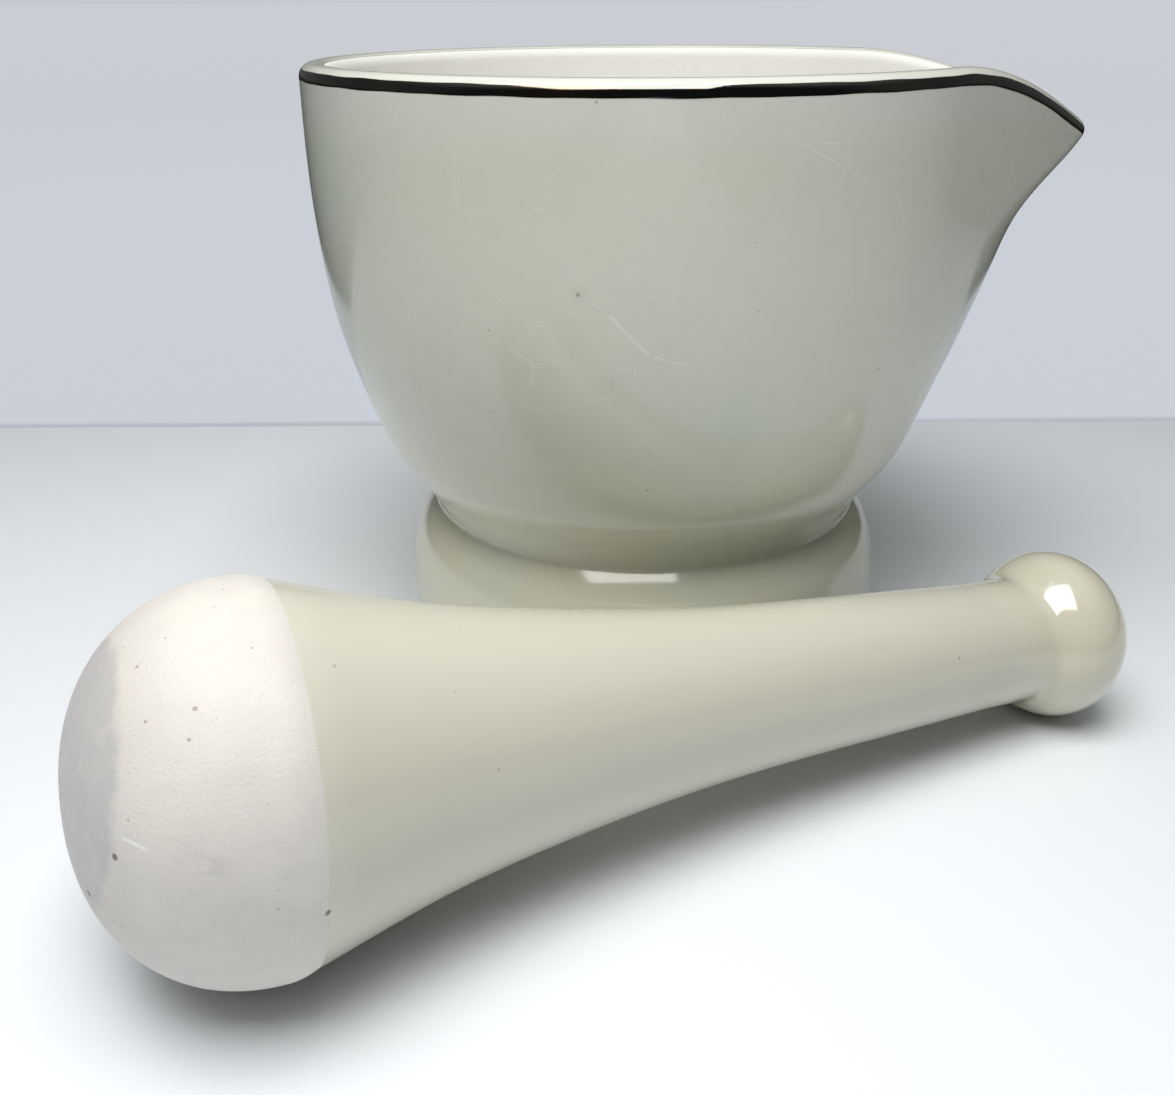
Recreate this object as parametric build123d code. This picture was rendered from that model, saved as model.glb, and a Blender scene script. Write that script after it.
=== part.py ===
"""Lipped porcelain mortar on a ring foot, with its pestle lying on the table in front of it.

Millimetres, +Z up. The origin is the centre of the mortar's foot on the table. The pouring lip
points along +X, and the pestle lies on the -Y side with its grinding head towards -X.
"""
import os
from math import acos, asin, cos, degrees, hypot, radians, sin

from build123d import *

# Mortar: overall sizes
rim_radius = 50.2  # outside of the wall just below the rim
rim_height = 89.2  # top of the rim above the table
foot_radius = 39.0  # widest circle of the ring foot
foot_height = 22.4  # groove between the ring foot and the bowl
groove_radius = 34.4

# Mortar: wall, rim, cavity and underside
wall = 4.4  # porcelain at the rim and in the lip
cavity_floor = 16.5  # bottom of the cavity above the table
recess_depth = 3.4  # hollow under the foot
recess_radius = 29.0
foot_in = 1.2  # how far the foot's standing edge lies in from its widest circle
foot_round = 2.0  # rounding of the foot's lower edge
rim_round = 1.9  # rounding of both edges of the rim
glaze = 0.4  # thickness of the fired glaze and of the metal band
bare_foot = 2.8  # height of the unglazed ring at the bottom of the foot

# Mortar: pouring lip
lip_reach = 65.0  # tip of the lip from the mortar's axis
lip_nose = 9.9  # radius of the lip's rounded end, outside and in plan
lip_drop = 9.4  # how far the edge runs down from the rim to the tip
lip_slope = 0.5  # fall per millimetre at the tip
lip_start = 46.0  # height where the wall begins to swell towards the lip

# Metal lustre band on the rim's outer edge
band_top = 0.7  # below the top of the rim
band_width = 1.6

# Pestle
head_radius = 21.7
head_length = 19.2  # from the head's widest circle to its tip
head_fullness = 2.18  # 2 is an ellipse, and more is squarer
shoulder = 3.0  # from the widest circle to the crease where the glaze begins
shoulder_fall = 0.72  # how much the radius shrinks over the shoulder
knob_place = 113.8  # from the head's widest circle to the middle of the knob
knob_radius = 12.1
knob_half = 9.4  # half the knob's length along the pestle
neck_radius = 8.9
neck_place = 99.0  # end of the handle's taper
neck_round = 3.2  # hollow where the neck meets the knob
glaze_step = 0.15  # the coat's edge stands out from the bare head
pestle_x = -45.2  # centre of the head's widest circle, in plan
pestle_y = -82.6
pestle_turn = 24.9  # degrees from +X towards +Y

# Shares of the way from the groove to the rim: outwards and up
wall_shares = ((0, 0), (0.12, 0.06), (0.367, 0.138), (0.589, 0.254), (0.804, 0.41), (0.949, 0.605), (1, 0.8), (1, 1))
# The foot's side: outwards from its widest circle as shares of its height, and up
foot_shares = ((-0.009, 0.22), (0, 0.42), (-0.022, 0.66), (-0.094, 0.86))
# The cavity below the start of the lip: shares of its radius there and of its depth
cavity_shares = ((0.79, 0.39), (0.45, 0.09))
# Swelling of the wall towards the lip: share of the full reach, by share of the height to the rim
lip_shares = ((0.01, 0), (0.065, 0.185), (0.185, 0.37), (0.32, 0.51), (0.675, 0.648), (1, 0.765), (1.005, 1.12))
# Narrowing of the handle from the crease to the neck: share of the way along, and of the fall in radius
handle_shares = ((0.14, 0.325), (0.325, 0.605), (0.56, 0.825), (0.81, 0.93))

lip_angle = acos((rim_radius - lip_nose) / (lip_reach - lip_nose))  # from +X to the end of each flank
far = 120.0  # beyond every piece
past_axis = -10.0  # sections are drawn past their axis and trimmed on it
half_plane = Pos(far / 2, 0) * Rectangle(far, 4 * far)
stand_up = Rot(90, 0, 0)  # turns a piece lathed about Y so that it stands along Z


def drawn_in(curve, depth, count=12):
    """Curve through points of an upward curve moved towards the axis by a depth along its normals."""
    points = []
    for step in range(count + 1):
        point = curve @ (step / count)
        slope = curve % (step / count)
        points.append((point.X - depth * slope.Y, point.Y + depth * slope.X))
    return Spline(*points)


def wall_points():
    """The bowl's outer wall, from the groove to the rim, as radius and height."""
    out = rim_radius - groove_radius
    rise = rim_height - foot_height
    return [(groove_radius + out * a, foot_height + rise * b) for a, b in wall_shares]


def wall_radius(height):
    """Outer radius of the bowl's wall at a height, found on its curve by halving."""
    curve = Spline(*wall_points())
    low, high = 0.0, 1.0
    for _ in range(30):
        middle = (low + high) / 2
        if (curve @ middle).Y < height:
            low = middle
        else:
            high = middle
    return (curve @ low).X


def mortar_section(inset):
    """Section of the mortar with no cavity, from beyond its axis to the wall, drawn in by an inset."""
    wall_curve = Spline(*wall_points())
    side = [(foot_radius + foot_height * out, foot_height * up) for out, up in foot_shares]
    foot_curve = Spline((foot_radius - foot_in, 0), *side, (groove_radius, foot_height))
    if inset:
        wall_curve = drawn_in(wall_curve, inset)
        foot_curve = drawn_in(foot_curve, inset)
    foot_end = foot_curve @ 0
    rim_end = wall_curve @ 1
    closing = Polyline(rim_end, (past_axis, rim_end.Y), (past_axis, foot_end.Y), foot_end)
    edges = [*closing.edges(), foot_curve.edge(), wall_curve.edge()]
    if inset:
        edges.append(Line(foot_curve @ 1, wall_curve @ 0).edge())
    face = make_face(edges)
    corner = face.vertices().sort_by_distance(foot_end)[0]
    return fillet(corner, foot_round)


def lathe(section):
    """Solid of revolution about Z from a section drawn with its axis along Y."""
    return stand_up * revolve(section & half_plane, Axis.Y)


def lip_outline(height, swell, inset):
    """Plan of the wall at one height: the round bowl, two straight flanks and a round nose."""
    radius = wall_radius(min(height, rim_height))
    nose_centre = swell / (1 - cos(lip_angle))
    nose = radius - cos(lip_angle) * nose_centre - inset
    radius -= inset
    left = Vector(radius * cos(lip_angle), radius * sin(lip_angle), height)
    nose_left = Vector(nose_centre + nose * cos(lip_angle), nose * sin(lip_angle), height)
    right = Vector(left.X, -left.Y, height)
    nose_right = Vector(nose_left.X, -nose_left.Y, height)
    return Wire(
        [
            Edge.make_three_point_arc(left, Vector(-radius, 0, height), right),
            Edge.make_line(right, nose_right),
            Edge.make_three_point_arc(nose_right, Vector(nose_centre + nose, 0, height), nose_left),
            Edge.make_line(nose_left, left),
        ]
    )


def lipped_block(inset):
    """The bowl above the start of the lip, filled in and drawn in by an inset."""
    reach = lip_reach - rim_radius
    rise = rim_height - lip_start
    plans = [lip_outline(lip_start + rise * up, reach * out, inset) for out, up in lip_shares]
    return Part() + Solid.make_loft(plans)


def above_edge(depth):
    """Everything higher than the rim and the falling edge of the lip, lowered by a depth."""
    top = rim_height - depth
    turn_down = rim_radius * cos(lip_angle)
    middle = (turn_down + lip_reach) / 2
    tip = (lip_reach + 1, top - lip_drop - lip_slope)
    end = (lip_reach + 11, tip[1] - 10 * lip_slope)
    with BuildSketch(Plane.XZ) as outline:
        with BuildLine():
            Line((-far, top), (turn_down, top))
            Spline((turn_down, top), (middle, top - 0.27 * lip_drop), tip, tangents=[(1, 0), (1, -lip_slope)])
            Polyline(tip, end, (end[0], far), (-far, far), (-far, top))
        make_face()
    return extrude(outline.sketch, amount=far, both=True)


def top_edges(part):
    """Outline edges of the faces that look up at the rim and along the lip."""
    found = {}
    for face in part.faces():
        if face.center().Z > rim_height - lip_drop and face.normal_at().Z > 0.5:
            for edge in face.edges():
                middle = edge.center()
                key = (round(middle.X, 2), round(middle.Y, 2), round(middle.Z, 2), round(edge.length, 2))
                found.setdefault(key, []).append(edge)
    return [edges[0] for edges in found.values() if len(edges) == 1]


def filled_mortar(inset):
    """The mortar without its cavity, drawn in by an inset, with sharp edges at the rim."""
    below = Pos(0, 0, lip_start / 2) * Box(4 * far, 4 * far, lip_start)
    return (lathe(mortar_section(inset)) & below) + (lipped_block(inset) - above_edge(inset))


def cavity():
    """The hollow of the bowl and its lip, open at the top."""
    inner = wall_radius(lip_start) - wall
    lean = wall_radius(lip_start) - wall_radius(lip_start - 1)
    deep = lip_start - cavity_floor
    with BuildLine() as outline:
        Line((0, lip_start), (inner, lip_start))
        side = [(inner * out, cavity_floor + deep * up) for out, up in cavity_shares]
        Spline((inner, lip_start), *side, (0, cavity_floor), tangents=[(-lean, -1), (-1, 0)])
        Line((0, cavity_floor), (0, lip_start))
    return lathe(make_face(outline.line)) + lipped_block(wall)


def mortar_pieces():
    """The fired body, its glaze coat and the lustre band, cut from one mortar."""
    whole = filled_mortar(0) - cavity()
    whole = fillet(top_edges(whole), rim_round)
    whole -= Pos(0, 0, recess_depth / 2) * Cylinder(recess_radius, recess_depth)
    core = filled_mortar(glaze)
    core = fillet(top_edges(core), rim_round - glaze)
    coat = whole - core
    coat -= Pos(0, 0, bare_foot / 2) * Box(4 * far, 4 * far, bare_foot)
    band_zone = above_edge(band_top + band_width) - above_edge(band_top) - lipped_block(wall / 2)
    return whole - coat, coat - band_zone, coat & band_zone


def pestle_section(inset):
    """Section of the pestle along Y, from beyond its axis: tip of the head below, knob above."""
    dome = [(0, -head_length)]
    for step in range(1, 8):
        turn = radians(90 * step / 8)
        out = sin(turn) ** (2 / head_fullness)
        back = cos(turn) ** (2 / head_fullness)
        dome.append((head_radius * out, -head_length * back))
    dome += [(head_radius, 0), (head_radius - shoulder_fall, shoulder)]
    crease = (head_radius - shoulder_fall + glaze_step, shoulder)
    run = neck_place - shoulder
    fall = crease[0] - neck_radius
    taper = [(crease[0] - fall * inward, shoulder + run * along) for along, inward in handle_shares]
    handle = Spline(crease, *taper, (neck_radius, neck_place))
    low = -acos(neck_radius / knob_radius)
    turns = [low + (radians(90) - low) * step / 8 for step in range(9)]
    knob = Spline(*[(knob_radius * cos(turn), knob_place + knob_half * sin(turn)) for turn in turns])
    if inset:
        handle = drawn_in(handle, inset)
        knob = drawn_in(knob, inset)
    with BuildLine() as outline:
        add(handle)
        add(knob)
        neck = Line(handle @ 1, knob @ 0)
        if inset:
            Polyline(knob @ 1, (past_axis, (knob @ 1).Y), (past_axis, (handle @ 0).Y), handle @ 0)
        else:
            Polyline(knob @ 1, (past_axis, (knob @ 1).Y), (past_axis, -head_length), dome[0])
            Spline(*dome, tangents=[(1, 0), (-2 * shoulder_fall, shoulder)])
            Line(dome[-1], crease)
    face = make_face(outline.line)
    corner = face.vertices().sort_by_distance(knob @ 0)[0]
    return fillet(corner, neck_round + inset)


def lie_down():
    """Tilt of the pestle's axis and height of its head's centre, with head and knob on the table."""
    tilt = 0.0
    for _ in range(20):
        head = head_radius * cos(tilt) + (shoulder * sin(tilt)) ** 2 / (4 * shoulder_fall * cos(tilt))
        knob = hypot(knob_radius * cos(tilt), knob_half * sin(tilt))
        tilt = asin((knob - head) / knob_place)
    return degrees(tilt), head


def pestle_pieces():
    """The fired pestle and the glaze coat on its handle, lying on the table."""
    whole = revolve(pestle_section(0) & half_plane, Axis.Y)
    core = revolve(pestle_section(glaze) & half_plane, Axis.Y)
    bare = Pos(0, shoulder - far, 0) * Box(2 * far, 2 * far, 2 * far)
    coat = whole - core - bare
    tilt, height = lie_down()
    place = Pos(pestle_x, pestle_y, height) * Rot(0, 0, pestle_turn - 90) * Rot(tilt, 0, 0)
    return place * (whole - coat), place * coat


mortar_body, mortar_glaze, rim_band = mortar_pieces()
pestle_body, pestle_glaze = pestle_pieces()
pieces = {
    "mortar_body": mortar_body,
    "mortar_glaze": mortar_glaze,
    "rim_band": rim_band,
    "pestle_body": pestle_body,
    "pestle_glaze": pestle_glaze,
}
os.makedirs("parts", exist_ok=True)
for name, piece in pieces.items():
    export_step(piece, f"parts/{name}.step")
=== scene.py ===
import math

import bpy
import numpy as np
from mathutils import Matrix


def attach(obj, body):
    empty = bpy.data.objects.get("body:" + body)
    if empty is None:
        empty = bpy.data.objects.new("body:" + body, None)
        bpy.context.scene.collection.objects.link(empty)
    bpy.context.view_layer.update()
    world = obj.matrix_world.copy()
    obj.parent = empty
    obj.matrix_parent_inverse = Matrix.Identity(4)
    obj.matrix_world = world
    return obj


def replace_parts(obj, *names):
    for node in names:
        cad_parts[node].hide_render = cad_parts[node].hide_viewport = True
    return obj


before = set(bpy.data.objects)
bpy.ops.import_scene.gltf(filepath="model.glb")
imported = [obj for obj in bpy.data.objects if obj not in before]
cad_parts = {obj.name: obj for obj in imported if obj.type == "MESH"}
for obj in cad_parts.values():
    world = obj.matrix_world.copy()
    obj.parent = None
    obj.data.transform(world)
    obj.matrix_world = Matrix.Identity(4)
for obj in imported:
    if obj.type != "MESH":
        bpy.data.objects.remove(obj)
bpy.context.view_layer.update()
print("frame loaded:", ", ".join(sorted(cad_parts)))

mm = 0.001


def throughPoints(points, count=400, startWay=None, endWay=None):
    # Cubic spline through points, by the length of the straight runs between them. Its second
    # derivative has no jumps, and is zero at an end that has no direction given.
    p = np.array(points, float)
    runs = np.linalg.norm(np.diff(p, axis=0), axis=1)
    knots = np.concatenate([[0], np.cumsum(runs)])
    slopes = np.diff(p, axis=0) / runs[:, None]
    n = len(p)
    system = np.zeros((n, n))
    wanted = np.zeros_like(p)
    inner = np.arange(1, n - 1)
    system[inner, inner - 1] = runs[:-1]
    system[inner, inner] = 2 * (runs[:-1] + runs[1:])
    system[inner, inner + 1] = runs[1:]
    wanted[inner] = 6 * np.diff(slopes, axis=0)
    system[0, 0] = system[-1, -1] = 1
    if startWay is not None:
        way = np.array(startWay, float) / np.linalg.norm(startWay)
        system[0, :2] = 2 * runs[0], runs[0]
        wanted[0] = 6 * (slopes[0] - way)
    if endWay is not None:
        way = np.array(endWay, float) / np.linalg.norm(endWay)
        system[-1, -2:] = runs[-1], 2 * runs[-1]
        wanted[-1] = 6 * (way - slopes[-1])
    bend = np.linalg.solve(system, wanted)
    at = np.linspace(0, knots[-1], count)
    i = np.clip(np.searchsorted(knots, at, side="right") - 1, 0, n - 2)
    a = (knots[i + 1] - at)[:, None]
    b = (at - knots[i])[:, None]
    h = runs[i][:, None]
    bends = (a**3 * bend[i] + b**3 * bend[i + 1]) / (6 * h)
    return bends + (p[i] / h - h * bend[i] / 6) * a + (p[i + 1] / h - h * bend[i + 1] / 6) * b


def drawnIn(curve, depth):
    # Every point moves to the curve's left, towards the axis of an upward profile, by the depth.
    way = np.gradient(curve, axis=0)
    way /= np.linalg.norm(way, axis=1)[:, None]
    return curve + depth * np.stack([-way[:, 1], way[:, 0]], axis=1)


def spread(low, high, count, density):
    # Values from low to high, closer together where the density is high: equal shares of its sum.
    fine = np.linspace(low, high, 4001)
    total = np.concatenate([[0], np.cumsum((density(fine[1:]) + density(fine[:-1])) / 2)])
    return np.interp(np.linspace(0, total[-1], count), total, fine)


def closedMesh(name, grid, material, rowsMeet=False):
    # A grid of points, rows by columns, whose columns go round. The rows either meet again in a
    # loop, or end in a single point at the first and the last row. Faces are turned outwards.
    rows, columns = grid.shape[:2]
    row, column = np.meshgrid(np.arange(rows), np.arange(columns), indexing="ij")
    index = row * columns + column
    if rowsMeet:
        points = grid.reshape(-1, 3)
        a, b = index, np.roll(index, -1, axis=0)
    else:
        index = np.clip(index - (columns - 1), 0, (rows - 2) * columns + 1)
        index[0] = 0
        points = np.concatenate([grid[:1, 0], grid[1:-1].reshape(-1, 3), grid[-1:, 0]])
        a, b = index[:-1], index[1:]
    quads = np.stack([a, np.roll(a, -1, axis=1), np.roll(b, -1, axis=1), b], axis=-1).reshape(-1, 4)
    corners = points[quads]
    sweep = np.cross(corners[:, 2] - corners[:, 0], corners[:, 3] - corners[:, 1])
    if np.einsum("ij,ij->", corners.mean(axis=1), sweep) < 0:
        quads = quads[:, ::-1]
    same = quads == np.roll(quads, -1, axis=1)
    keep = ~same
    sizes = keep.sum(axis=1)
    mesh = bpy.data.meshes.new(name)
    mesh.vertices.add(len(points))
    mesh.vertices.foreach_set("co", (points * mm).astype(np.float32).ravel())
    mesh.loops.add(int(sizes.sum()))
    mesh.loops.foreach_set("vertex_index", quads[keep].astype(np.int32))
    mesh.polygons.add(len(quads))
    starts = np.concatenate([[0], np.cumsum(sizes)[:-1]])
    mesh.polygons.foreach_set("loop_start", starts.astype(np.int32))
    mesh.polygons.foreach_set("use_smooth", np.ones(len(quads), bool))
    mesh.update(calc_edges=True)
    mesh.validate()
    mesh.materials.append(material)
    piece = bpy.data.objects.new(name, mesh)
    bpy.context.scene.collection.objects.link(piece)
    print(f"{name}: {len(points)} points, {len(quads)} faces")
    return piece


class Socket:
    # A node's output, or a number, that Python's operators join with Math nodes.
    def __init__(self, tree, link):
        self.tree = tree
        self.link = link

    def maths(self, operation, *others):
        return node(self.tree, "ShaderNodeMath", {"operation": operation}, [self, *others])

    def __add__(self, other):
        return self.maths("ADD", other)

    def __sub__(self, other):
        return self.maths("SUBTRACT", other)

    def __rsub__(self, other):
        return node(self.tree, "ShaderNodeMath", {"operation": "SUBTRACT"}, [other, self])

    def __mul__(self, other):
        return self.maths("MULTIPLY", other)

    __radd__ = __add__
    __rmul__ = __mul__

    def atMost(self, other):
        return self.maths("MINIMUM", other)

    def atLeast(self, other):
        return self.maths("MAXIMUM", other)

    def size(self):
        return self.maths("ABSOLUTE")


def node(tree, kind, settings=None, inputs=None, output=0):
    # Adds a node. Settings are set first, "stops" being a ramp's, then its sockets take values or links.
    made = tree.nodes.new(kind)
    for key, value in (settings or {}).items():
        if key == "stops":
            stops = made.color_ramp.elements
            for i, (at, colour) in enumerate(value):
                stop = stops[i] if i < 2 else stops.new(at)
                stop.position = at
                stop.color = (*colour, 1)
        else:
            setattr(made, key, value)
    pairs = inputs.items() if isinstance(inputs, dict) else enumerate(inputs or [])
    for key, value in pairs:
        if isinstance(value, Socket):
            tree.links.new(value.link, made.inputs[key])
        elif value is not None:
            made.inputs[key].default_value = value
    return Socket(tree, made.outputs[output])


def between(value, low, high):
    # 0 below low and 1 above high, with a smooth rise; low above high turns it round.
    flip = low > high
    settings = {"interpolation_type": "SMOOTHSTEP"}
    sockets = {"Value": value, "From Min": min(low, high), "From Max": max(low, high)}
    sockets |= {"To Min": float(flip), "To Max": float(not flip)}
    return node(value.tree, "ShaderNodeMapRange", settings, sockets)


def mixed(share, first, second, blend="MIX"):
    # One colour over another by a share.
    tree = share.tree
    first, second = ((*c, 1) if isinstance(c, tuple) else c for c in (first, second))
    made = tree.nodes.new("ShaderNodeMix")
    made.data_type = "RGBA"
    made.blend_type = blend
    for key, value in ((0, share), (6, first), (7, second)):
        if isinstance(value, Socket):
            tree.links.new(value.link, made.inputs[key])
        else:
            made.inputs[key].default_value = value
    return Socket(tree, made.outputs[2])


def noise(place, scale, detail=3.0, rough=0.5, output=0):
    sockets = {"Vector": place, "Scale": scale, "Detail": detail, "Roughness": rough}
    return node(place.tree, "ShaderNodeTexNoise", {}, sockets, output)


def moved(place, offset=(0, 0, 0), turn=(0, 0, 0), scale=(1, 1, 1), kind="POINT"):
    sockets = {"Vector": place, "Location": offset, "Rotation": turn, "Scale": scale}
    return node(place.tree, "ShaderNodeMapping", {"vector_type": kind}, sockets)


def parts(place):
    split = place.tree.nodes.new("ShaderNodeSeparateXYZ")
    place.tree.links.new(place.link, split.inputs[0])
    return [Socket(place.tree, out) for out in split.outputs]


def spot(place, centre, reach, edge=0.35):
    # 1 within reach of a point and 0 beyond it.
    settings = {"operation": "DISTANCE"}
    gap = node(place.tree, "ShaderNodeVectorMath", settings, [place, centre], output="Value")
    return between(gap, reach, reach * (1 - edge))


def stroke(place, start, end, width, edge=0.6):
    # 1 near the straight line between two points and 0 away from it: the distance to the line's
    # nearest point, found with a dot product held between 0 and 1.
    tree = place.tree
    start, end = np.array(start), np.array(end)
    way = end - start
    vector = {"operation": "SUBTRACT"}
    gap = node(tree, "ShaderNodeVectorMath", vector, [place, tuple(start)])
    scaled = tuple(way / (way @ way))
    along = node(tree, "ShaderNodeVectorMath", {"operation": "DOT_PRODUCT"}, [gap, scaled], output="Value")
    along = along.atLeast(0.0).atMost(1.0)
    run = node(tree, "ShaderNodeVectorMath", {"operation": "SCALE"}, {0: tuple(way), "Scale": along})
    off = node(tree, "ShaderNodeVectorMath", {"operation": "DISTANCE"}, [gap, run], output="Value")
    fade = between(along, 1.0, 0.75) * between(along, 0.0, 0.2)
    return between(off, width, width * (1 - edge)) * fade


def newMaterial(name, **fixed):
    # A material with its main shader, and Object coordinates to draw patterns with.
    material = bpy.data.materials.new(name)
    material.use_nodes = True
    tree = material.node_tree
    shader = tree.nodes["Principled BSDF"]
    for key, value in fixed.items():
        shader.inputs[key.replace("_", " ")].default_value = value
    place = node(tree, "ShaderNodeTexCoord", output="Object")
    return material, shader, place


def feed(shader, **sockets):
    # Joins values to the shader's own sockets.
    for key, value in sockets.items():
        value.tree.links.new(value.link, shader.inputs[key.replace("_", " ")])


def raised(height, strength, distance, under=None):
    sockets = {"Strength": strength, "Distance": distance, "Height": height}
    if under is not None:
        sockets["Normal"] = under
    return node(height.tree, "ShaderNodeBump", {}, sockets)


def evenly(curve, count):
    # The same curve with points at even distances along it.
    runs = np.linalg.norm(np.diff(curve, axis=0), axis=1)
    far = np.concatenate([[0], np.cumsum(runs)])
    at = np.linspace(0, far[-1], count)
    return np.stack([np.interp(at, far, curve[:, 0]), np.interp(at, far, curve[:, 1])], axis=1)


def rounded(first, second, radius, steps=10):
    # Joins two curves by an arc. Its centre is where both, moved to their left by the radius, meet;
    # a radius below zero moves them to their right, for a hollow corner.
    a, b = drawnIn(first, radius), drawnIn(second, radius)
    gaps = np.linalg.norm(a[:, None] - b[None], axis=2)
    i, j = np.unravel_index(np.argmin(gaps), gaps.shape)
    centre = (a[i] + b[j]) / 2
    start, end = first[i] - centre, second[j] - centre
    low = math.atan2(start[1], start[0])
    sweep = (math.atan2(end[1], end[0]) - low + math.pi) % (2 * math.pi) - math.pi
    turn = low + sweep * np.linspace(0, 1, steps + 2)[1:-1]
    arc = centre + abs(radius) * np.stack([np.cos(turn), np.sin(turn)], axis=1)
    return np.concatenate([first[: i + 1], arc, second[j:]])


def lathed(profile, turn):
    # A profile of radius and height carried round the upright axis.
    radius, height = profile[:, :1], profile[:, 1:]
    flat = np.ones_like(turn)
    return np.stack([radius * np.cos(turn), radius * np.sin(turn), height * flat], axis=-1)


mortar = {
    "rimRadius": 50.2, "rimHeight": 89.2, "footRadius": 39.0, "footHeight": 22.4, "grooveRadius": 34.4,
    "wall": 4.4, "cavityFloor": 16.5, "recessDepth": 3.4, "recessRadius": 29.0, "footIn": 1.2,
    "footRound": 2.0, "rimRound": 1.9, "glaze": 0.4, "bareFoot": 2.8,
    "lipReach": 64.88, "lipNose": 9.8, "lipDrop": 9.4, "lipMiddle": 0.3, "lipSlope": 0.5, "lipStart": 46.0,
    "wallShares": ((0, 0), (0.12, 0.06), (0.367, 0.138), (0.589, 0.254), (0.804, 0.41), (0.949, 0.605),
                   (1, 0.8), (1, 1)),
    "footShares": ((-0.009, 0.22), (0, 0.42), (-0.022, 0.66), (-0.094, 0.86)),
    "cavityShares": ((0.79, 0.39), (0.45, 0.09)),
    "lipShares": ((0, 0), (0.065, 0.185), (0.185, 0.37), (0.32, 0.51), (0.675, 0.648), (1, 0.765),
                  (1.005, 1.12)),
    "unevenness": 0.05,  # how far the hand-finished wall strays inwards
    "columns": 300, "lipCrowding": 3.4, "crowdedTurn": math.radians(15),
    "coreGap": 0.02,  # between the coat and the body hidden under it
}
m = mortar
bowlRise = m["rimHeight"] - m["footHeight"]
bowlOut = m["rimRadius"] - m["grooveRadius"]
lipRise = m["rimHeight"] - m["lipStart"]
flank = math.acos((m["rimRadius"] - m["lipNose"]) / (m["lipReach"] - m["lipNose"]))
lipOut = m["lipReach"] - m["rimRadius"]
wallLine = throughPoints([
    (m["grooveRadius"] + bowlOut * a, m["footHeight"] + bowlRise * b) for a, b in m["wallShares"]
])
swellLine = throughPoints([(lipOut * a, m["lipStart"] + lipRise * b) for a, b in m["lipShares"]])
turnDown = m["rimRadius"] * math.cos(flank)
tipHeight = m["rimHeight"] - m["lipDrop"] - m["lipSlope"]
edgeLine = throughPoints(
    [
        (turnDown, m["rimHeight"]),
        ((turnDown + m["lipReach"]) / 2, m["rimHeight"] - m["lipMiddle"] * m["lipDrop"]),
        (m["lipReach"] + 1, tipHeight),
    ],
    startWay=(1, 0),
    endWay=(1, -m["lipSlope"]),
)


def wallRadius(height):
    # Outer radius of the round bowl at a height, read off the wall's curve.
    return np.interp(height, wallLine[:, 1], wallLine[:, 0])


def wander(turn, height):
    # Slow waves round and up the wall, from 0 to 1: two products of sines.
    waves = np.sin(3 * turn + 0.7) * np.sin(0.09 * height + 1.1)
    waves = waves + 0.6 * np.sin(7 * turn - 0.05 * height) * np.sin(0.21 * height)
    return 0.5 + waves / 3.2


def planPoint(turn, height, depth):
    # Plan of the wall at a height: the hull of the round bowl and of the lip's smaller nose circle.
    # Towards a turn from +X it is the bowl's radius, then the line that touches both circles, then
    # the nose. The point then moves in along the plan's own normal by the depth.
    radius = wallRadius(height)
    centre = np.maximum(np.interp(height, swellLine[:, 1], swellLine[:, 0]), 0) / (1 - math.cos(flank))
    nose = radius - math.cos(flank) * centre
    side = np.abs(turn)
    touch = np.arctan2(nose * math.sin(flank), centre + nose * math.cos(flank))
    line = radius / np.cos(np.minimum(side, flank) - flank)
    tip = centre * np.cos(side) + np.sqrt(np.maximum(nose**2 - (centre * np.sin(side)) ** 2, 0))
    round_, straight = side > flank, side > touch
    reach = np.where(round_, radius, np.where(straight, line, tip))
    x, y = reach * np.cos(turn), reach * np.sin(turn)
    outX = np.where(round_, np.cos(turn), np.where(straight, math.cos(flank), (x - centre) / nose))
    outY = np.where(round_, np.sin(turn), np.where(straight, math.sin(flank) * np.sign(turn), y / nose))
    return np.stack(np.broadcast_arrays(x - depth * outX, y - depth * outY, height), axis=-1)


def rimPoint(turn, depth, drop):
    # The point at a depth into the wall and a drop below the rim, whose height falls with x at the lip.
    height = m["rimHeight"]
    for _ in range(4):
        height = np.interp(planPoint(turn, height, depth)[..., 0], edgeLine[:, 0], edgeLine[:, 1])
    return planPoint(turn, height - drop, depth)


def wallRows(shares, depth, low, turn):
    # Rows from a low height up to where the rim's rounding starts, by shares of the way.
    top = rimPoint(turn, depth, m["rimRound"])[..., 2]
    height = low + (top - low) * shares[:, None]
    stray = m["unevenness"] * wander(turn, height) * np.sin(math.pi * shares[:, None].clip(0, 1)) ** 0.5
    return planPoint(turn, height, depth + stray)


def roundRows(angles, inset, turn, inner=False):
    # Rows round one of the rim's rounded edges: a quarter circle, made smaller by the inset.
    r = m["rimRound"]
    depth = r - (r - inset) * np.cos(angles[:, None])
    drop = r - (r - inset) * np.sin(angles[:, None])
    return rimPoint(turn, m["wall"] - depth if inner else depth, drop)


def nearLip(turn):
    # How closely the columns stand: closest at the lip, and even from a little way round it.
    return 1 + m["lipCrowding"] / (1 + (turn / m["crowdedTurn"]) ** 4)


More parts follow.
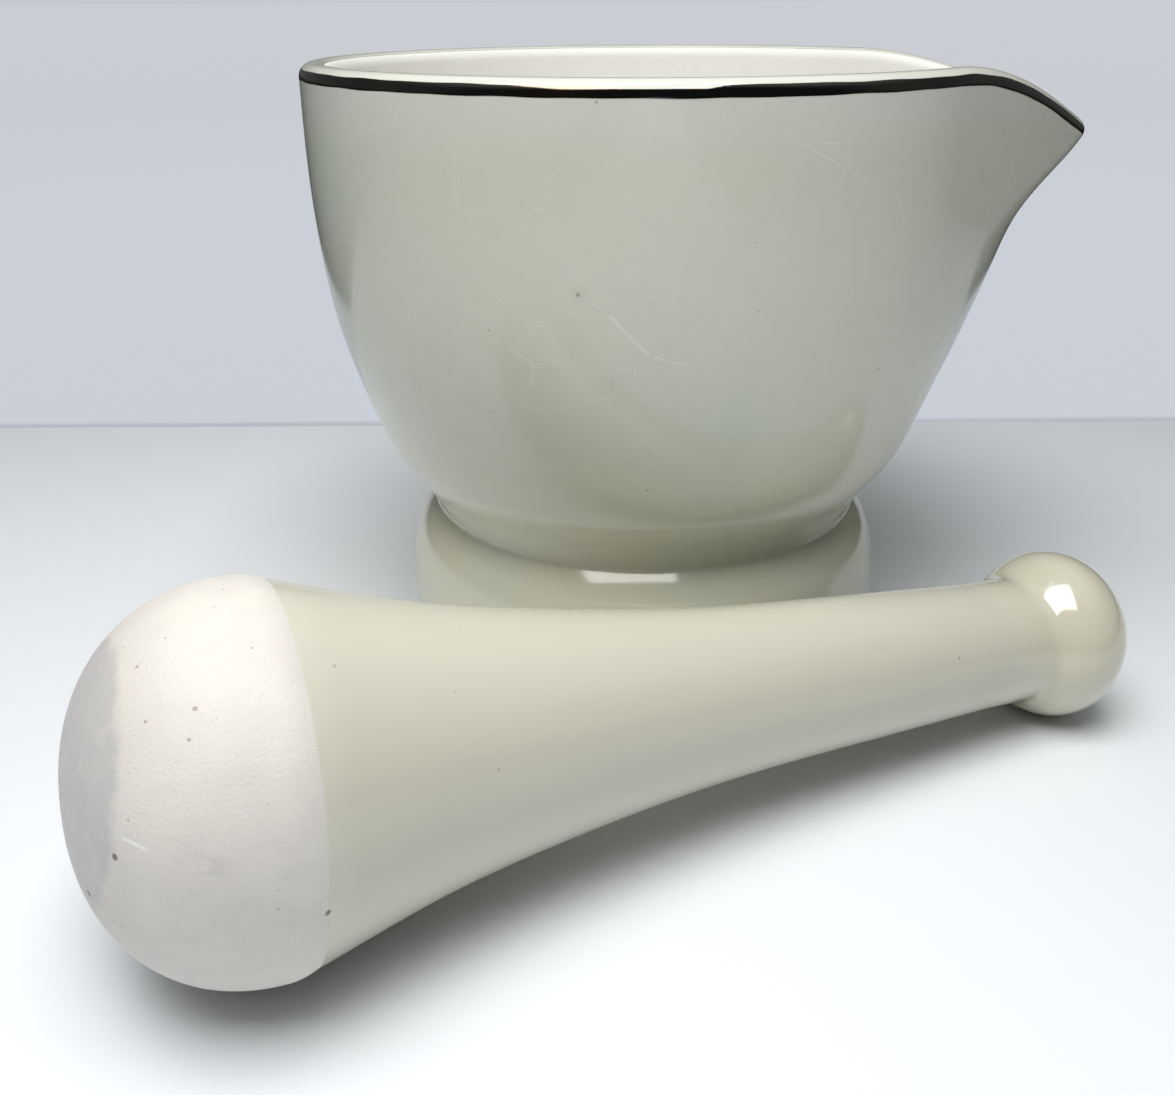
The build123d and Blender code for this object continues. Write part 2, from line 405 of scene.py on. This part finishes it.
turns = spread(-math.pi, math.pi, m["columns"] + 1, nearLip)[None, :-1]
level = np.linspace(0, m["footRadius"] - m["footIn"], 200)
standing = np.stack([level, 0 * level], axis=1)
footSide = [(m["footRadius"] + m["footHeight"] * a, m["footHeight"] * b) for a, b in m["footShares"]]
footEnds = (m["footRadius"] - m["footIn"], 0), (m["grooveRadius"], m["footHeight"])
footLine = throughPoints([footEnds[0], *footSide, footEnds[1]])
footLine = rounded(standing, footLine, m["footRound"])
footLine = footLine[footLine[:, 0] > m["recessRadius"]]
bareEnd = np.searchsorted(footLine[:, 1], m["bareFoot"])
glazedFoot, bareFoot = evenly(footLine[bareEnd:], 40), footLine[:bareEnd]
quarter = np.linspace(0, math.pi / 2, 11)
coatEnd = math.asin(1 - m["glaze"] / m["rimRound"])


def depthRows(low, high, drop, turn, count=4):
    # Rows across the flat top of the rim, from one depth into the wall to another.
    return rimPoint(turn, np.linspace(low, high, count)[:, None], drop)


def coatGrid(turn):
    # The coat as a loop: up the outside, over the rim, and back down under its own thickness.
    shares = np.linspace(0, 1, 110)
    inside = evenly(drawnIn(glazedFoot, m["glaze"]), 14)
    return np.concatenate([
        lathed(glazedFoot[:-1], turn),
        wallRows(shares[:-1], 0.0, m["footHeight"], turn),
        roundRows(quarter, 0.0, turn),
        depthRows(m["rimRound"], m["wall"] - m["rimRound"], 0.0, turn)[1:-1],
        roundRows(np.linspace(math.pi / 2, coatEnd, 6), 0.0, turn, inner=True),
        depthRows(m["wall"] - m["rimRound"], m["rimRound"], m["glaze"], turn),
        roundRows(quarter[::-2], m["glaze"], turn)[1:],
        wallRows(np.linspace(1, 0, 30)[1:], m["glaze"], m["footHeight"], turn),
        lathed(inside[::-1], turn),
    ])


def bodyGrid(turn):
    # The fired body from the middle of the cavity's floor out and up to the rim, down under the
    # coat, and along the bare foot and the hollow underside to the middle.
    hidden = m["glaze"] + m["coreGap"]
    inner = wallRadius(m["lipStart"]) - m["wall"]
    deep = m["lipStart"] - m["cavityFloor"]
    lean = wallRadius(m["lipStart"]) - wallRadius(m["lipStart"] - 1)
    side = [(inner * a, m["cavityFloor"] + deep * b) for a, b in m["cavityShares"]]
    floor = throughPoints([(inner, m["lipStart"]), *side, (0, m["cavityFloor"])], 70, (-lean, -1), (-1, 0))
    shares = np.linspace(0, 1, 60)[1:]
    under = drawnIn(glazedFoot, hidden)[::-1]
    edge = m["recessRadius"]
    recess = np.array([
        (edge + 0.6, 0), (edge + 0.2, 0.1), (edge, 0.5), (edge, m["recessDepth"] - 1),
        (edge - 0.3, m["recessDepth"] - 0.3), (edge - 1, m["recessDepth"]), (edge / 2, m["recessDepth"]),
        (0, m["recessDepth"]),
    ])
    return np.concatenate([
        lathed(floor[::-1], turn),
        wallRows(shares, m["wall"], m["lipStart"], turn),
        roundRows(np.linspace(0, coatEnd, 8)[1:], 0.0, turn, inner=True),
        depthRows(m["wall"] - m["rimRound"], m["rimRound"], hidden, turn),
        roundRows(quarter[::-2], hidden, turn)[1:],
        wallRows(np.linspace(1, 0, 30)[1:], hidden, m["footHeight"], turn),
        lathed(evenly(under, 14), turn),
        lathed(bareFoot[::-1], turn),
        lathed(recess, turn),
    ])


glazeLook = {
    "cream": (0.685, 0.70, 0.60), "thin": (0.72, 0.735, 0.67), "pooled": (0.70, 0.685, 0.545),
    "cool": (0.61, 0.67, 0.59), "speck": (0.33, 0.27, 0.2), "stain": (0.50, 0.46, 0.37),
    "line": (0.86, 0.87, 0.83), "scar": (0.87, 0.87, 0.85), "pit": (0.22, 0.19, 0.15),
    "roughness": 0.13, "crazeSize": 13.0, "crazeWidth": 0.14,
    "pitPlace": (-10.32, -48.51, 65.38),
    "scratches": (
        ((-9.6, -48.6, 65.0), (-6.6, -49.05, 63.2), 0.16),
        ((-6.9, -49.0, 63.4), (-3.4, -48.95, 59.6), 0.42),
        ((-3.9, -48.95, 60.2), (-1.6, -48.75, 57.9), 0.36),
        ((-1.9, -48.75, 58.1), (3.4, -48.45, 56.7), 0.2),
    ),
}


def crazing(place, size, width, warp):
    # Hairlines of a crazed glaze: the borders of warped cells, kept only in drifting patches.
    drift = noise(place, 0.045, 2.0, output=1)
    vector = {"operation": "MULTIPLY_ADD"}
    bent = node(place.tree, "ShaderNodeVectorMath", vector, [drift, (warp, warp, warp), place])
    flat = moved(bent, scale=(1 / size, 1 / size, 1.7 / size))
    cells = {"feature": "DISTANCE_TO_EDGE"}
    edge = node(place.tree, "ShaderNodeTexVoronoi", cells, {"Vector": flat, "Scale": 1.0})
    return between(edge, width / size, 0.0)


def bowlGlaze():
    # Cream glaze, thinner and cooler at the rim, pooled and warmer low down, with fine crazing,
    # sparse specks, one pit and the long scratch beside it.
    g = glazeLook
    material, shader, place = newMaterial("crazedGlaze", IOR=1.5, Coat_Roughness=0.03, Coat_Weight=0.35)
    at = moved(place, scale=(1000, 1000, 1000))
    z = parts(at)[2]
    cloud = noise(at, 0.035, 3.0)
    colour = mixed(between(z, 48.0, 22.0), g["cream"], g["pooled"])
    colour = mixed(between(z + cloud * 6, 82.0, 90.0) * 0.8, colour, g["thin"])
    colour = mixed(between(cloud, 0.48, 0.68) * 0.55, colour, g["cool"])
    fine = between(noise(at, 0.4, 4.0), 0.3, 0.8)
    colour = mixed(fine * 0.06, colour, g["stain"])
    cells = {"feature": "F1"}
    dots = node(at.tree, "ShaderNodeTexVoronoi", cells, {"Vector": at, "Scale": 0.24})
    specks = between(dots, 0.055, 0.03) * between(noise(at, 0.09, 2.0), 0.5, 0.56)
    colour = mixed(specks * 0.6, colour, g["speck"])
    shown = between(noise(moved(at, (11, 3, 0)), 0.03, 2.0), 0.42, 0.6)
    upper = between(z, 36.0, 58.0)
    wide = crazing(at, g["crazeSize"], g["crazeWidth"], 9.0) * shown * upper
    thin = crazing(moved(at, (40, 9, 70)), g["crazeSize"] * 0.6, g["crazeWidth"] * 0.7, 7.0)
    thin = thin * between(noise(moved(at, (5, 60, 9)), 0.05, 1.0), 0.5, 0.62) * between(z, 50.0, 70.0)
    lines = (wide + thin * 0.6).atMost(1.0)
    colour = mixed(lines * 0.3, colour, g["line"])
    pit = spot(at, g["pitPlace"], 0.3)
    halo = spot(at, g["pitPlace"], 1.6, 0.9)
    scar = [stroke(at, *ends) for ends in g["scratches"]]
    scar = (scar[0] + scar[1] + scar[2] + scar[3]).atMost(1.0)
    colour = mixed(scar * 0.5, colour, g["scar"])
    colour = mixed(halo * 0.2, colour, g["stain"])
    colour = mixed(pit * 0.55, colour, g["pit"])
    ripple = noise(at, 0.11, 2.0) * 0.55 + noise(at, 0.8, 2.0) * 0.035
    height = ripple - lines * 0.12 - pit * 0.5 - scar * 0.2
    rough = fine * 0.05 + lines * 0.12 + scar * 0.35 + g["roughness"]
    feed(shader, Base_Color=colour, Roughness=rough, Normal=raised(height, 0.5, 0.0002))
    return material


bareLook = {"cream": (0.9, 0.895, 0.86), "worn": (0.62, 0.61, 0.585), "grime": (0.42, 0.39, 0.34)}


def bareBowl():
    # Unglazed porcelain inside the bowl and under the foot: sandy, rubbed smooth and greyer where
    # the pestle works, and a little grimy on the foot's standing edge.
    b = bareLook
    material, shader, place = newMaterial("bareBowl", IOR=1.48)
    at = moved(place, scale=(1000, 1000, 1000))
    z = parts(at)[2]
    grain = noise(at, 2.6, 4.0, 0.65)
    rings = noise(moved(at, scale=(0.05, 0.05, 1.4)), 1.0, 3.0)
    rubbed = between(z + noise(at, 0.09, 3.0) * 16, 62.0, 26.0) * between(z, 14.0, 17.0)
    colour = mixed(rubbed * 0.6, b["cream"], b["worn"])
    colour = mixed(between(rings, 0.45, 0.7) * rubbed * 0.35, colour, b["grime"])
    colour = mixed(between(grain, 0.45, 0.75) * 0.16, colour, b["worn"])
    colour = mixed(between(z, 1.2, 0.2) * between(noise(at, 0.4, 3.0), 0.4, 0.65) * 0.7, colour, b["grime"])
    rough = grain * 0.2 + 0.5 - rubbed * 0.16
    height = grain + rings * rubbed * 0.5
    feed(shader, Base_Color=colour, Roughness=rough, Normal=raised(height, 0.45, 0.00012))
    return material


lustreLook = {"metal": (0.13, 0.127, 0.122), "warm": (0.2, 0.155, 0.11), "bare": (0.63, 0.6, 0.52)}


def rimLustre():
    # Fired-on dark lustre: mirror-like, browner where it is thin, and flecked away at its edges.
    b = lustreLook
    material, shader, place = newMaterial("rimLustre", IOR=1.6)
    at = moved(place, scale=(1000, 1000, 1000))
    thin = between(noise(at, 0.07, 3.0), 0.46, 0.66)
    flecks = between(noise(at, 1.5, 5.0, 0.7), 0.69, 0.74)
    colour = mixed(thin * 0.7, b["metal"], b["warm"])
    colour = mixed(flecks, colour, b["bare"])
    rough = thin * 0.06 + flecks * 0.25 + noise(at, 0.6, 3.0) * 0.05 + 0.03
    height = noise(at, 0.35, 3.0) * 0.6 - flecks * 0.6
    relief = raised(height, 0.35, 0.0001)
    feed(shader, Base_Color=colour, Roughness=rough, Metallic=1 - flecks, Normal=relief)
    return material


band = {"top": 0.7, "width": 1.3, "thickness": 0.2, "proud": 0.02, "ragged": 0.05}


def bandGrid(turn):
    # The lustre band as a loop: along the rim's outer rounding and the top of the wall, from the
    # band's top to its foot, and back under its own thickness. Its edges wander a little.
    r = m["rimRound"]
    low, high = band["top"] + band["width"], band["top"]
    stray = band["ragged"] * (np.sin(9 * turn) * np.sin(14 * turn + 1) + 0.5 * np.sin(37 * turn + 2))
    share = np.concatenate([[0, 0.012, 0.03], np.linspace(0.08, 0.92, 12), [0.97, 0.988, 1]])[:, None]
    drop = low + (high - low) * share + stray * (1 - 2 * share)
    slope = np.arcsin(np.clip(1 - drop / r, 0, 1))

    def skin(inset):
        # Depth and drop of the same stretch under a thickness of metal.
        depth = r - (r - inset) * np.cos(slope)
        lowered = np.where(drop > r, drop, r - (r - inset) * np.sin(slope))
        return rimPoint(turn, depth, lowered)

    return np.concatenate([skin(-band["proud"]), skin(band["thickness"])[::-1]])


def mortarWork():
    # The mortar's three pieces, each standing for its solid.
    coat = closedMesh("bowlCoat", coatGrid(turns), bowlGlaze(), True)
    body = closedMesh("bowlBody", bodyGrid(turns), bareBowl())
    ring = closedMesh("rimLustre", bandGrid(turns), rimLustre(), True)
    for piece, solid, finish in (
        (coat, "mortar_glaze", "glaze"),
        (body, "mortar_body", "biscuit"),
        (ring, "rim_band", "lustre"),
    ):
        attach(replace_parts(piece, solid), "mortar")


pestle = {
    "headRadius": 21.7, "headLength": 19.2, "fullness": 2.18, "shoulder": 3.0, "shoulderFall": 0.72,
    "knobPlace": 113.8, "knobRadius": 12.1, "knobHalf": 9.4, "neckRadius": 8.9, "neckPlace": 99.0,
    "neckRound": 3.2, "glazeStep": 0.15, "glazeFade": 3.0, "glaze": 0.4, "coreGap": 0.02,
    "centre": (-45.2, -82.6), "turn": math.radians(24.9),
    "handleShares": ((0.14, 0.325), (0.325, 0.605), (0.56, 0.825), (0.81, 0.93)),
    "columns": 240,
}
q = pestle
tilt = 0.0
for _ in range(20):  # head and knob both touch the table
    headHeight = q["headRadius"] * math.cos(tilt)
    headHeight += (q["shoulder"] * math.sin(tilt)) ** 2 / (4 * q["shoulderFall"] * math.cos(tilt))
    knobHeight = math.hypot(q["knobRadius"] * math.cos(tilt), q["knobHalf"] * math.sin(tilt))
    tilt = math.asin((knobHeight - headHeight) / q["knobPlace"])


def headLine():
    # The bare head from its tip: a superellipse to the widest circle, then a parabola to the crease.
    angle = np.linspace(0, math.pi / 2, 70)
    dome = np.stack([
        q["headRadius"] * np.sin(angle) ** (2 / q["fullness"]),
        -q["headLength"] * np.cos(angle) ** (2 / q["fullness"]),
    ], axis=1)
    along = np.concatenate([np.linspace(0, 1, 9)[1:-1], [0.97, 0.99, 0.998, 1]])
    fall = np.stack([q["headRadius"] - q["shoulderFall"] * along**2, q["shoulder"] * along], axis=1)
    return np.concatenate([evenly(dome, 60), fall])


def handleLine():
    # The glazed handle from the crease: its taper, the straight neck, a hollow corner and the knob.
    low = -math.acos(q["neckRadius"] / q["knobRadius"])
    start = q["headRadius"] - q["shoulderFall"] + q["glazeStep"]
    run, fall = q["neckPlace"] - q["shoulder"], start - q["neckRadius"]
    points = [(start - fall * b, q["shoulder"] + run * a) for a, b in ((0, 0), *q["handleShares"], (1, 1))]
    angle = np.linspace(low, math.pi / 2, 300)
    knob = np.stack([
        q["knobRadius"] * np.cos(angle), q["knobPlace"] + q["knobHalf"] * np.sin(angle),
    ], axis=1)
    neck = np.linspace(q["neckPlace"], knob[0, 1], 80)[1:]
    taper = np.concatenate([throughPoints(points), np.stack([0 * neck + q["neckRadius"], neck], axis=1)])
    return rounded(taper, knob, -q["neckRound"])


def laidDown(profile, turn):
    # A profile of radius and distance along, carried round the pestle's own axis as it lies.
    cosTurn, sinTurn, cosTilt, sinTilt = (f(a) for a in (q["turn"], tilt) for f in (math.cos, math.sin))
    axis = np.array([cosTurn * cosTilt, sinTurn * cosTilt, sinTilt])
    side = np.array([-sinTurn, cosTurn, 0])
    top = np.cross(axis, side)
    radius, along = profile[:, 0, None, None], profile[:, 1, None, None]
    round_ = np.cos(turn)[..., None] * side + np.sin(turn)[..., None] * top
    return np.array([*q["centre"], headHeight]) + along * axis + radius * round_


headLook = {
    "clay": (0.745, 0.71, 0.67), "warm": (0.775, 0.745, 0.695), "grey": (0.56, 0.54, 0.52),
    # worn: the tip cap's darker lilac-grey, partly a painted reflection of dim surroundings
    "worn": (0.53, 0.52, 0.525), "speck": (0.16, 0.13, 0.11), "scratch": (0.9, 0.89, 0.88),
    "specks": (  # along the axis, to its side and up, from the middle of the widest circle
        ((-15.1, -13.97, 3.24), 0.42), ((-17.52, -9.03, -3.89), 0.48), ((-17.3, -8.9, -6.8), 0.32),
        ((2.7, -20.87, -2.78), 0.4), ((-11.23, -4.92, 17.58), 0.24), ((-7.12, -12.29, 16.4), 0.3),
        ((-11.33, -10.56, 14.84), 0.2), ((-8.01, -14.1, 14.36), 0.22), ((-1.2, -8.6, 19.8), 0.18),
    ),
    "scratches": (
        ((-18.5, -0.3, 6.6), (-18.0, -3.4, 6.4), 0.2), ((-17.4, -5.6, 7.2), (-16.0, -9.6, 7.9), 0.24),
        ((-14.5, -14.05, 5.58), (-12.25, -16.67, 5.21), 0.3),
        ((-6.2, -18.6, 10.0), (-3.4, -19.6, 8.6), 0.09), ((-4.9, -19.3, 8.9), (-1.6, -19.9, 8.2), 0.07),
    ),
}


def alongPestle(place):
    # Millimetres along the pestle's axis, to its side and upwards, from the head's widest circle.
    centre = [c * mm for c in (*q["centre"], headHeight)]
    own = moved(place, centre, (0, -tilt, q["turn"]), kind="TEXTURE")
    return moved(own, scale=(1000, 1000, 1000))


def bareHead():
    # Bare grinding head: pinkish sandy clay with dark grains, smudges from use, a painted shadow
    # along the head just above its axis between the tip and the widest circle, and a smoother cap worn
    # on its tip whose darker lilac-grey is partly a painted reflection of dim surroundings, crossed by
    # scratches.
    h = headLook
    material, shader, place = newMaterial("bareHead", IOR=1.46)
    at = alongPestle(place)
    along, _, up = parts(at)
    grain = noise(at, 2.4, 5.0, 0.7)
    cloud = noise(at, 0.1, 4.0, 0.6)
    colour = mixed(between(cloud, 0.4, 0.62), h["clay"], h["warm"])
    colour = mixed(between(grain, 0.52, 0.75) * 0.3, colour, h["grey"])
    smudgeAndShadow = between(noise(moved(at, scale=(0.6, 1.0, 1.4)), 0.22, 5.0, 0.65), 0.5, 0.68)
    # A band just above the head's axis, between the tip and the widest circle, where the grey smudges are
    # much stronger: a painted shadow across the head.
    low = between(up, 9.0, 3.0) * between(up, -6.0, 0.0)
    low = low * between(along, -16.0, -11.0) * between(along, 2.0, -3.0)
    colour = mixed(smudgeAndShadow * (low * 0.42 + 0.1), colour, h["grey"])
    cells = node(at.tree, "ShaderNodeTexVoronoi", {"feature": "F1"}, {"Vector": at, "Scale": 0.55})
    grains = between(cells, 0.085, 0.05) * between(noise(at, 0.16, 2.0), 0.48, 0.56)
    colour = mixed(grains * 0.5, colour, h["speck"])
    border = along - up * 0.17 + (noise(at, 0.35, 3.0) - 0.5) * 1.6
    cap = between(border, -15.3, -16.5)
    rim = between(border, -15.0, -15.6) * (1 - cap)
    # Worn cap: smoother and lower in relief, and its darker lilac-grey is partly its own tone and partly a
    # painted reflection of the dim surroundings.
    colour = mixed(cap * 0.78, colour, h["worn"])
    colour = mixed(cap * between(noise(at, 0.5, 4.0), 0.45, 0.7) * 0.25, colour, h["clay"])
    colour = mixed(rim * 0.3, colour, h["warm"])
    marks = [stroke(at, *ends) for ends in h["scratches"]]
    marks = (marks[0] + marks[1] + marks[2] + marks[3] * 0.4 + marks[4] * 0.4).atMost(1.0)
    colour = mixed(marks * 0.8, colour, h["scratch"])
    dots = [spot(at, *where) for where in h["specks"]]
    dark = dots[0] + dots[1] + dots[2] + dots[3] + (dots[4] + dots[5] + dots[6] + dots[7] + dots[8]) * 0.6
    colour = mixed(dark.atMost(1.0) * 0.85, colour, h["speck"])
    rough = grain * 0.16 + 0.48 - cap * 0.12
    height = grain * (1.2 - cap * 0.8) + cloud * 0.6 - marks * 0.5 - dark * 0.6 - cap * 0.8
    feed(shader, Base_Color=colour, Roughness=rough, Normal=raised(height, 0.5, 0.00014))
    return material


handleLook = {
    "cream": (0.625, 0.61, 0.515), "edge": (0.68, 0.655, 0.57), "knob": (0.655, 0.635, 0.50),
    "shade": (0.60, 0.57, 0.50), "speck": (0.25, 0.2, 0.15), "roughness": 0.24,
}


def handleGlaze():
    # Softly shining cream glaze with faint lengthwise bands, fine specks, a richer rim at the
    # crease, and a glossier, yellower knob.
    h = handleLook
    material, shader, place = newMaterial("handleGlaze", IOR=1.5, Coat_Roughness=0.12)
    at = alongPestle(place)
    along = parts(at)[0]
    knob = between(along, 98.0, 106.0)
    streaks = noise(moved(at, scale=(0.025, 0.22, 0.22)), 1.0, 4.0, 0.6)
    colour = mixed(between(streaks, 0.5, 0.72) * 0.3, h["cream"], h["shade"])
    colour = mixed(between(along, 7.0, 3.0) * 0.6, colour, h["edge"])
    colour = mixed(knob * 0.85, colour, h["knob"])
    fine = noise(at, 0.9, 4.0, 0.6)
    colour = mixed(fine * 0.1, colour, h["shade"])
    cells = node(at.tree, "ShaderNodeTexVoronoi", {"feature": "F1"}, {"Vector": at, "Scale": 0.2})
    specks = between(cells, 0.05, 0.026) * between(noise(at, 0.07, 2.0), 0.44, 0.52)
    colour = mixed(specks * 0.7, colour, h["speck"])
    rough = streaks * 0.06 + h["roughness"] - 0.03 - knob * 0.17
    weight = knob * 0.6 + 0.25
    height = noise(at, 0.11, 0.0)
    relief = raised(height, 0.4, 0.00022)
    feed(shader, Base_Color=colour, Roughness=rough, Coat_Weight=weight, Normal=relief)
    return material


def pestleWork():
    # The bare head with its core under the coat, and the coat as a closed skin round the handle.
    turn = np.linspace(0, 2 * math.pi, q["columns"], endpoint=False)[None]
    outside = handleLine()
    head = headLine()
    outside = evenly(outside, 260)
    edge = [outside[0] + (outside[1] - outside[0]) * share for share in (0.03, 0.12, 0.4)]
    outside = np.concatenate([outside[:1], edge, outside[1:]])
    under = evenly(drawnIn(outside, q["glaze"]), 90)
    outside[:, 0] -= q["glazeStep"] * np.exp((q["shoulder"] - outside[:, 1]) / q["glazeFade"])
    lip = outside[:1] - (0.03, 0)
    core = evenly(drawnIn(outside, q["glaze"] + q["coreGap"]), 90)
    core[-1, 0] = under[-1, 0] = outside[-1, 0] = head[0, 0] = 0
    coat = np.concatenate([under[::-1], lip, outside])
    body = closedMesh("pestleBody", laidDown(np.concatenate([head, core]), turn), bareHead())
    skin = closedMesh("pestleCoat", laidDown(coat, turn), handleGlaze())
    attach(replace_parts(body, "pestle_body"), "pestle")
    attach(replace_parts(skin, "pestle_glaze"), "pestle")


camera = {
    "place": (-9.374, -189.4, 97.427), "pitch": 0.4311, "roll": -0.0059,
    "pixelLens": 1200.0, "width": 1175.0, "sensor": 36.0,
}


def addCamera(c):
    # Looks along +Y, turned down by the pitch and then about its own axis by the roll.
    eye = bpy.data.cameras.new("camera")
    eye.sensor_fit = "HORIZONTAL"
    eye.sensor_width = c["sensor"]
    eye.lens = c["sensor"] * c["pixelLens"] / c["width"]
    eye.clip_start = 0.01
    eye.clip_end = 20
    seen = bpy.data.objects.new("camera", eye)
    forward = np.array([0, math.cos(c["pitch"]), -math.sin(c["pitch"])])
    up = np.array([0, math.sin(c["pitch"]), math.cos(c["pitch"])])
    right = np.array([1.0, 0, 0])
    cos, sin = math.cos(c["roll"]), math.sin(c["roll"])
    columns = np.stack([cos * right + sin * up, cos * up - sin * right, -forward], axis=1)
    full = np.eye(4)
    full[:3, :3] = columns
    full[:3, 3] = np.array(c["place"]) * mm
    seen.matrix_world = Matrix(full.tolist())
    bpy.context.scene.collection.objects.link(seen)
    bpy.context.scene.camera = seen


studio = {
    "panel": {
        "size": (0.30, 0.28), "height": 0.40, "place": (-0.05, -0.172),
        "power": 1.92, "tint": (1.0, 0.99, 0.965),
    },
    "wallLine": 0.096, "floor": (0.835, 0.87, 0.915), "beyond": (0.575, 0.60, 0.66),
    # the darker line: painted shadow where the table meets the background
    "cornerShade": (0.40, 0.44, 0.50), "far": (0.56, 0.58, 0.62), "reach": 0.15,
    "front": (0.035, 0.035, 0.035), "sides": (0.1, 0.105, 0.1), "above": (0.42, 0.43, 0.43),
}


def addStudio(s):
    # A pale table that fades into an even pale ground further out, with a painted shadow line where the
    # background begins, standing for the shade in the corner of table and wall, one broad soft panel
    # overhead, and surroundings that are dimmer towards the front. The ground shines on the pieces only
    # within its reach to each side, and is seen whole.
    half = 30.0
    corners = [(-half, -half, 0), (half, -half, 0), (half, half, 0), (-half, half, 0)]
    mesh = bpy.data.meshes.new("table")
    mesh.from_pydata(corners, [], [(0, 1, 2, 3)])
    table = bpy.data.objects.new("table", mesh)
    table.location.z = -0.00003
    bpy.context.scene.collection.objects.link(table)
    material, shader, place = newMaterial("table", Roughness=0.45)
    shader.inputs["Emission Strength"].default_value = 1.0
    x, y, _ = parts(place)
    line = s["wallLine"]
    away = node(place.tree, "ShaderNodeVectorMath", {"operation": "LENGTH"}, [place], "Value")
    beyond = between(y, line - 0.0004, line + 0.0004)
    # A thin darker line just beyond the wall line: painted shadow of the corner between table and
    # background.
    cornerShade = beyond * between(y, line + 0.005, line + 0.001)
    glow = mixed(between(away, 0.3, 1.2), s["beyond"], s["far"])
    glow = mixed(cornerShade * 0.8, glow, s["cornerShade"])
    shone = beyond.atLeast(between(away, 0.2, 0.6))
    seen = node(place.tree, "ShaderNodeLightPath", output="Is Camera Ray")
    lit = shone * seen.atLeast(between(x.size(), s["reach"] + 0.03, s["reach"]) * 0.8)
    feed(shader, Base_Color=mixed(shone, s["floor"], (0, 0, 0)), Emission_Color=mixed(lit, (0, 0, 0), glow))
    mesh.materials.append(material)

    p = s["panel"]
    lamp = bpy.data.lights.new("panel", "AREA")
    lamp.shape = "RECTANGLE"
    lamp.size, lamp.size_y = p["size"]
    lamp.energy = p["power"]
    lamp.color = p["tint"]
    hung = bpy.data.objects.new("panel", lamp)
    hung.location = (*p["place"], p["height"])
    bpy.context.scene.collection.objects.link(hung)

    world = bpy.data.worlds.new("surroundings")
    world.use_nodes = True
    bpy.context.scene.world = world
    tree = world.node_tree
    way = node(tree, "ShaderNodeTexCoord", output="Generated")
    _, y, z = parts(way)
    front = between(y, -0.15, -0.6) * between(z, 0.97, 0.85)
    colour = mixed(between(z, 0.5, 0.9), s["sides"], s["above"])
    colour = mixed(front, colour, s["front"])
    seen = node(tree, "ShaderNodeLightPath", output="Is Camera Ray")
    colour = mixed(seen, colour, s["far"])
    tree.links.new(colour.link, tree.nodes["Background"].inputs["Color"])


mortarWork()
pestleWork()
print("pieces made and ridden on their bodies")
addCamera(camera)
addStudio(studio)
bpy.context.scene.view_settings.view_transform = "Standard"
print("camera, table and light placed")
